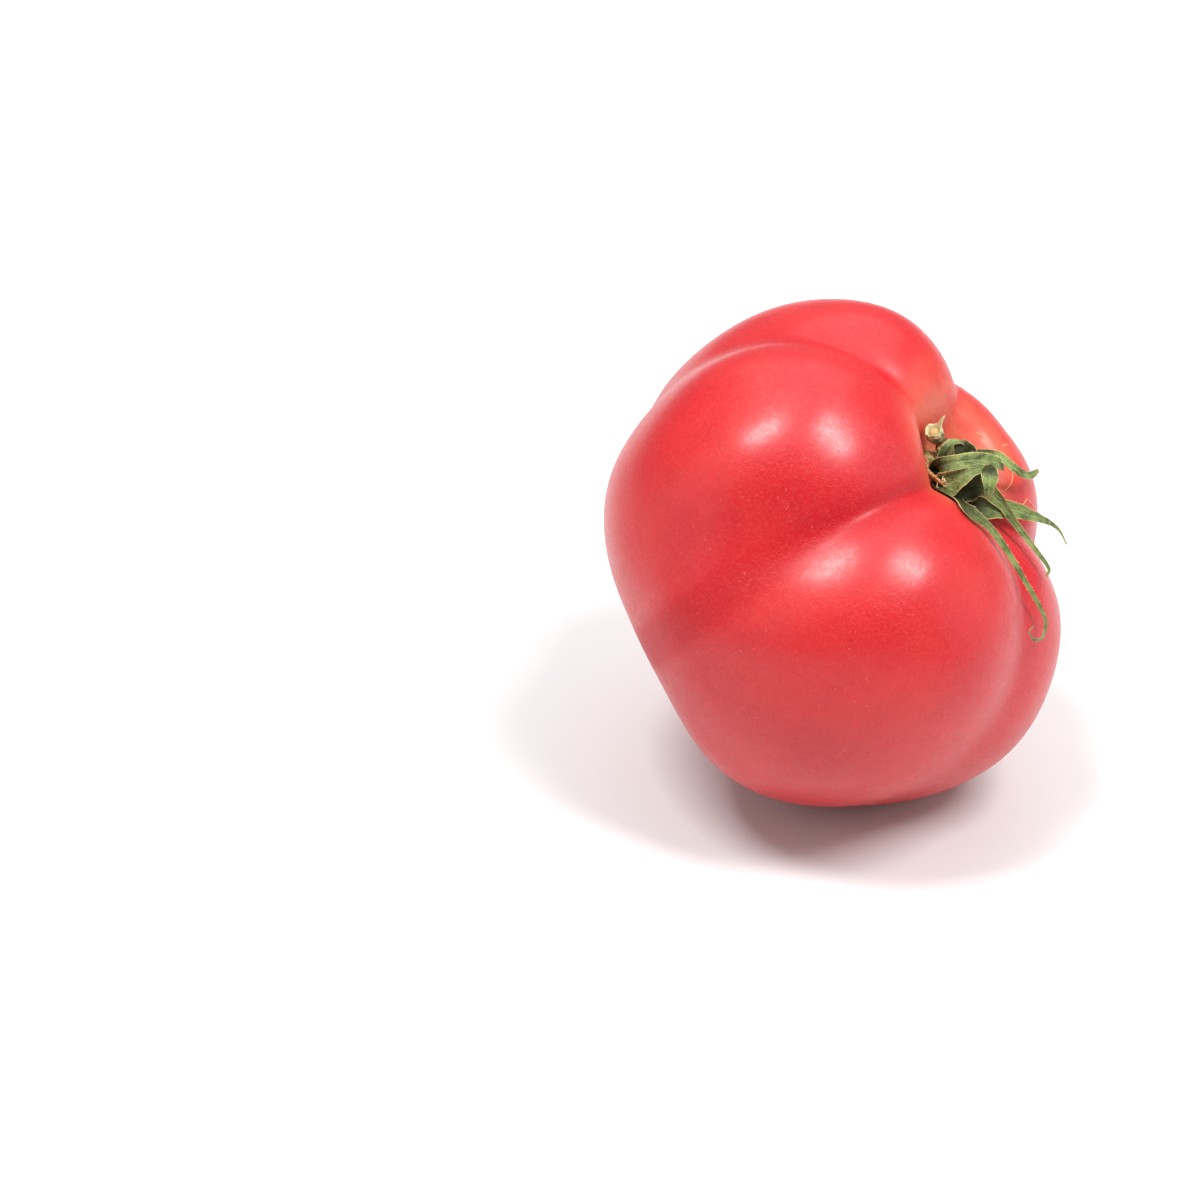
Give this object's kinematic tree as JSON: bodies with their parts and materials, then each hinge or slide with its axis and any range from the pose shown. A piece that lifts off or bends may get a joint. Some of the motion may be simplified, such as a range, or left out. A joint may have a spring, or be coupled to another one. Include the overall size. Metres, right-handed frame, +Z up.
{
  "type": "pink tomato",
  "caption": "Large lobed pink tomato lying tilted on a small flat spot, with a deep creased stem cavity, a green calyx with long curling sepals and a short broken stalk.",
  "frame": {"origin": "middle of the small flat spot that the fruit rests on", "axes": "+Z up from the surface it lies on, +X towards the side its stem end leans to, -Y towards the side that shows in the picture"},
  "size_m": [0.0833, 0.0878, 0.0854],
  "materials": {
    "skin": "satin tomato skin, coral pink to crimson",
    "sepals": "matte, limp green leaf",
    "stalk": "matte, fibrous broken stalk"
  },
  "bodies": {
    "root": {"fruit": "skin", "calyx": "sepals", "stem": "stalk"}
  },
  "joints": []
}
